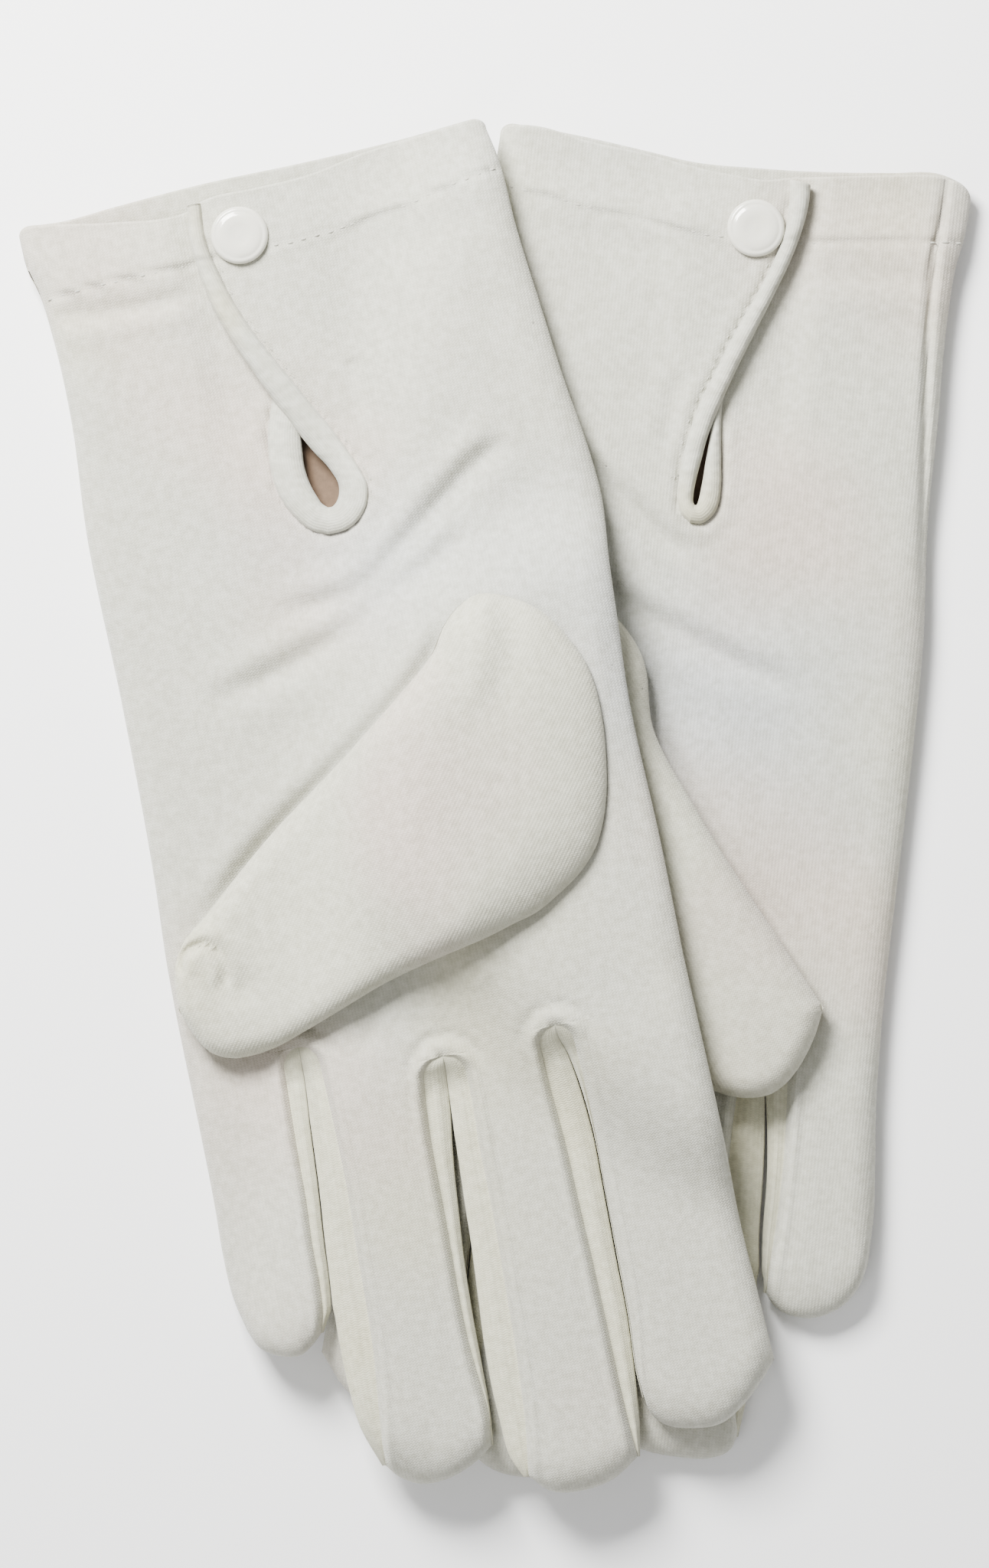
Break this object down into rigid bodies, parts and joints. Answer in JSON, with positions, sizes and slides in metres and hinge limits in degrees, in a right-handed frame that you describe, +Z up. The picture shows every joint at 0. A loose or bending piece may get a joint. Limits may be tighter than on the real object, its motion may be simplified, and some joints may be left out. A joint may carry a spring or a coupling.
{
  "type": "pair of wrist-length formal gloves",
  "caption": "Pair of thin knit dress gloves lying flat, palms up and crossed, each with a keyhole wrist opening, a flap that snaps shut and a thumb folded over the palm.",
  "frame": {"origin": "middle of the pair's bounding box in X and Y, on the surface the pair lies on", "axes": "+Z up out of the palms, +Y towards the cuffs, -Y towards the fingertips, +X towards the right-hand glove's little finger"},
  "size_m": [0.1784, 0.2566, 0.0317],
  "materials": {
    "glove_knit": "fine matte knit",
    "gusset_knit": "fine matte knit, slightly warmer",
    "binding_knit": "folded knit strip, matte",
    "snap_plastic": "glossy moulded plastic"
  },
  "bodies": {
    "right_glove": {"right_palm_panel": "glove_knit", "right_back_panel": "glove_knit", "right_slit_binding": "binding_knit", "right_snap_stud": "snap_plastic", "right_snap_back": "snap_plastic", "right_thumb_upper": "glove_knit", "right_thumb_under": "glove_knit", "right_ring_palm_side": "glove_knit", "right_ring_back_side": "glove_knit", "right_fourchette_2_ring": "gusset_knit", "right_fourchette_3_ring": "gusset_knit", "right_middle_palm_side": "glove_knit", "right_middle_back_side": "glove_knit", "right_fourchette_1_middle": "gusset_knit", "right_fourchette_2_middle": "gusset_knit", "right_index_palm_side": "glove_knit", "right_index_back_side": "glove_knit", "right_fourchette_1_index": "gusset_knit"},
    "right_little": {"right_little_palm_side": "glove_knit", "right_little_back_side": "glove_knit", "right_fourchette_3_little": "gusset_knit"},
    "right_flap": {"right_wrist_flap": "glove_knit", "right_flap_binding": "binding_knit", "right_snap_cap": "snap_plastic", "right_snap_socket": "snap_plastic"},
    "left_glove": {"left_palm_panel": "glove_knit", "left_back_panel": "glove_knit", "left_slit_binding": "binding_knit", "left_snap_stud": "snap_plastic", "left_snap_back": "snap_plastic"},
    "left_thumb": {"left_thumb_upper": "glove_knit", "left_thumb_under": "glove_knit"},
    "left_index": {"left_index_palm_side": "glove_knit", "left_index_back_side": "glove_knit", "left_fourchette_1_index": "gusset_knit"},
    "left_middle": {"left_middle_palm_side": "glove_knit", "left_middle_back_side": "glove_knit", "left_fourchette_1_middle": "gusset_knit", "left_fourchette_2_middle": "gusset_knit"},
    "left_ring": {"left_ring_palm_side": "glove_knit", "left_ring_back_side": "glove_knit", "left_fourchette_2_ring": "gusset_knit", "left_fourchette_3_ring": "gusset_knit"},
    "left_little": {"left_little_palm_side": "glove_knit", "left_little_back_side": "glove_knit", "left_fourchette_3_little": "gusset_knit"},
    "left_flap": {"left_wrist_flap": "glove_knit", "left_flap_binding": "binding_knit", "left_snap_cap": "snap_plastic", "left_snap_socket": "snap_plastic"}
  },
  "joints": [
    {"name": "left_glove_lift", "type": "slide", "parent": "right_glove", "child": "left_glove", "axis": [0, 0, 1], "range_m": [0, 0.12]},
    {"name": "left_index_curl", "type": "hinge", "parent": "left_glove", "child": "left_index", "pos_m": [0.02498, -0.03477, 0.02322], "axis": [-0.9799, -0.1994, 0], "range_deg": [0, 75]},
    {"name": "left_middle_curl", "type": "hinge", "parent": "left_glove", "child": "left_middle", "pos_m": [0.00097, -0.03966, 0.01905], "axis": [-0.9799, -0.1994, 0], "range_deg": [0, 75]},
    {"name": "left_ring_curl", "type": "hinge", "parent": "left_glove", "child": "left_ring", "pos_m": [-0.02304, -0.04454, 0.01508], "axis": [-0.9799, -0.1994, 0], "range_deg": [0, 75]},
    {"name": "left_little_curl", "type": "hinge", "parent": "left_glove", "child": "left_little", "pos_m": [-0.04655, -0.04933, 0.01168], "axis": [-0.9799, -0.1994, 0], "range_deg": [0, 75]},
    {"name": "right_little_curl", "type": "hinge", "parent": "right_glove", "child": "right_little", "pos_m": [0.06035, -0.04749, 0.00715], "axis": [-0.9934, 0.1149, 0], "range_deg": [0, 75]},
    {"name": "left_thumb_open", "type": "hinge", "parent": "left_glove", "child": "left_thumb", "pos_m": [0.01961, 0.01822, 0.02476], "axis": [-0.1994, 0.9799, 0], "range_deg": [0, 80]},
    {"name": "left_flap_open", "type": "hinge", "parent": "left_glove", "child": "left_flap", "pos_m": [-0.02589, 0.09264, 0.01039], "axis": [-0.1347, 0.986, -0.0981], "range_deg": [0, 100]},
    {"name": "right_flap_open", "type": "hinge", "parent": "right_glove", "child": "right_flap", "pos_m": [0.02764, 0.09219, 0.00711], "axis": [-0.0503, -0.9987, 0], "range_deg": [0, 100]}
  ]
}
